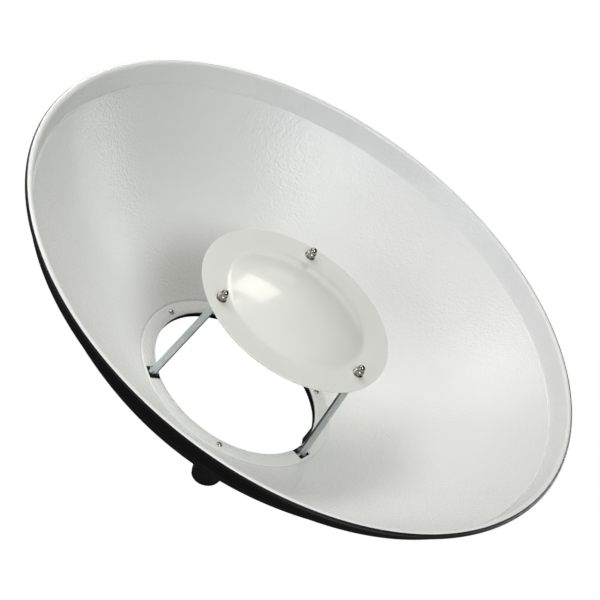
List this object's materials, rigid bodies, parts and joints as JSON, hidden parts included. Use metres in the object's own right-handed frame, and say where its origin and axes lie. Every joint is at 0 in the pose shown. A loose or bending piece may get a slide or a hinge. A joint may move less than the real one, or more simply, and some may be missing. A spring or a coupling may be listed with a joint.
{
  "type": "beauty dish reflector",
  "caption": "Shallow round studio-flash reflector bowl with a domed deflector plate on posts in front of its throat, a rear mount ring and a radial lock screw.",
  "frame": {"origin": "on the dish's axis, in the plane of the mount ring's flat back face, which is the lowest face", "axes": "+Z along the dish's axis from the mount ring to the mouth; the lock screw is at azimuth -76 degrees from +X, and -Y is the side that the reference view is taken from"},
  "size_m": [0.508, 0.508, 0.1527],
  "materials": {
    "dish_paint": "textured white enamel inside, gloss black outside",
    "deflector_paint": "smooth gloss white enamel",
    "ring_paint": "satin black",
    "zinc_plate": "blue-white zinc plate",
    "nickel_plate": "polished nickel plate",
    "brass": "machined",
    "nylon": "natural nylon",
    "knob_plastic": "moulded black"
  },
  "bodies": {
    "dish": {"dish_shell": "dish_paint", "mount_ring": "ring_paint", "deflector_plate": "deflector_paint", "lock_bush": "brass", "throat_screw_1": "zinc_plate", "throat_screw_2": "zinc_plate", "throat_screw_3": "zinc_plate", "foot_bracket_1": "ring_paint", "foot_bracket_2": "ring_paint", "foot_bracket_3": "ring_paint", "bracket_rivet_1": "zinc_plate", "bracket_rivet_2": "zinc_plate", "bracket_rivet_3": "zinc_plate", "post_foot_1": "zinc_plate", "post_foot_2": "zinc_plate", "post_foot_3": "zinc_plate", "post_1": "zinc_plate", "post_2": "zinc_plate", "post_3": "zinc_plate", "deflector_washer_1": "zinc_plate", "deflector_washer_2": "zinc_plate", "deflector_washer_3": "zinc_plate", "spring_washer_1": "zinc_plate", "spring_washer_2": "zinc_plate", "spring_washer_3": "zinc_plate", "cap_nut_1": "nickel_plate", "cap_nut_2": "nickel_plate", "cap_nut_3": "nickel_plate"},
    "lock_pad": {"pressure_pad": "nylon"},
    "lock_knob": {"lock_screw": "zinc_plate", "lock_knob": "knob_plastic"}
  },
  "joints": [
    {"name": "lock_travel", "type": "slide", "parent": "dish", "child": "lock_pad", "axis": [-0.2419, 0.9703, 0], "range_m": [0, 0.0045]},
    {"name": "lock_turn", "type": "hinge", "parent": "lock_pad", "child": "lock_knob", "pos_m": [0.02456, -0.09849, 0.013], "axis": [-0.2419, 0.9703, 0], "range_deg": [0, 1620]}
  ],
  "couplings": [
    {"joint": "lock_travel", "follows": "lock_turn", "m_per_rad": 0.00015915}
  ]
}
